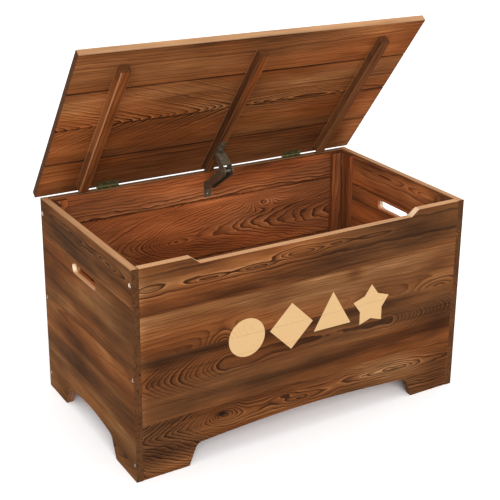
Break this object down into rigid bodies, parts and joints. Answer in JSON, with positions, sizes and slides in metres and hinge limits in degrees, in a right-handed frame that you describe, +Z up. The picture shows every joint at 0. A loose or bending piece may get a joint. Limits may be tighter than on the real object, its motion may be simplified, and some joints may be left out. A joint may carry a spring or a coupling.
{
  "type": "wooden toy box",
  "caption": "Stained softwood storage box on cut-out feet, with a hinged boarded lid held open by a folding support and slots in the sides for carrying.",
  "frame": {"origin": "floor level, centre of the plan of the whole part with its lid open as stored", "axes": "+X along the front, from the left end to the right end; +Y from the front to the back; +Z up"},
  "size_m": [0.804, 0.4652, 0.8118],
  "materials": {
    "stained_wood": "brown stain over softwood, satin",
    "stained_wood_inside": "brown stain over softwood, satin",
    "antique_bronze": "dark antique bronze plating on steel",
    "zinc_bolts": "bright zinc plating"
  },
  "bodies": {
    "box": {"left_board_bottom": "stained_wood", "left_board_lower": "stained_wood", "left_board_upper": "stained_wood", "left_board_top": "stained_wood", "right_board_bottom": "stained_wood", "right_board_lower": "stained_wood", "right_board_upper": "stained_wood", "right_board_top": "stained_wood", "front_board_bottom": "stained_wood", "front_board_lower": "stained_wood", "front_board_upper": "stained_wood", "front_board_top": "stained_wood", "back_board_bottom": "stained_wood", "back_board_lower": "stained_wood", "back_board_upper": "stained_wood", "back_board_top": "stained_wood", "cleat_front_left_long": "stained_wood_inside", "cleat_front_left_side": "stained_wood_inside", "cleat_front_right_long": "stained_wood_inside", "cleat_front_right_side": "stained_wood_inside", "cleat_back_left_long": "stained_wood_inside", "cleat_back_left_side": "stained_wood_inside", "cleat_back_right_long": "stained_wood_inside", "cleat_back_right_side": "stained_wood_inside", "floor_board_front": "stained_wood_inside", "floor_board_back": "stained_wood_inside", "floor_rail_front": "stained_wood_inside", "floor_rail_back": "stained_wood_inside", "bolt_left_front_bottom": "zinc_bolts", "bolt_left_front_middle": "zinc_bolts", "bolt_left_front_top": "zinc_bolts", "bolt_left_back_bottom": "zinc_bolts", "bolt_left_back_middle": "zinc_bolts", "bolt_left_back_top": "zinc_bolts", "bolt_right_front_bottom": "zinc_bolts", "bolt_right_front_middle": "zinc_bolts", "bolt_right_front_top": "zinc_bolts", "bolt_right_back_bottom": "zinc_bolts", "bolt_right_back_middle": "zinc_bolts", "bolt_right_back_top": "zinc_bolts", "hinge_left_box_leaf": "antique_bronze", "hinge_left_pin": "antique_bronze", "hinge_right_box_leaf": "antique_bronze", "hinge_right_pin": "antique_bronze", "stay_box_bracket": "antique_bronze", "stay_box_pin": "antique_bronze"},
    "lid": {"lid_board_front": "stained_wood", "lid_board_front_middle": "stained_wood", "lid_board_back_middle": "stained_wood", "lid_board_back": "stained_wood", "lid_batten_left": "stained_wood_inside", "lid_batten_centre": "stained_wood_inside", "lid_batten_right": "stained_wood_inside", "hinge_left_lid_leaf": "antique_bronze", "hinge_right_lid_leaf": "antique_bronze", "stay_lid_bracket": "antique_bronze", "stay_lid_pin": "antique_bronze"},
    "support_arm": {"stay_arm": "antique_bronze", "stay_elbow_pin": "antique_bronze"},
    "support_link": {"stay_link": "antique_bronze"}
  },
  "joints": [
    {"name": "lid_hinge", "type": "hinge", "parent": "box", "child": "lid", "pos_m": [0, 0.2204, 0.4458], "axis": [-1, 0, 0], "range_deg": [-52.4, 32.6]},
    {"name": "support_arm_pivot", "type": "hinge", "parent": "box", "child": "support_arm", "pos_m": [0, 0.1904, 0.4158], "axis": [-1, 0, 0], "range_deg": [-52.4, 32.6]},
    {"name": "support_link_pivot", "type": "hinge", "parent": "lid", "child": "support_link", "pos_m": [0, 0.14126, 0.5035], "axis": [-1, 0, 0], "range_deg": [-32.6, 52.4]}
  ],
  "couplings": [
    {"joint": "support_arm_pivot", "follows": "lid_hinge", "ratio": 1},
    {"joint": "support_link_pivot", "follows": "lid_hinge", "ratio": -1}
  ]
}
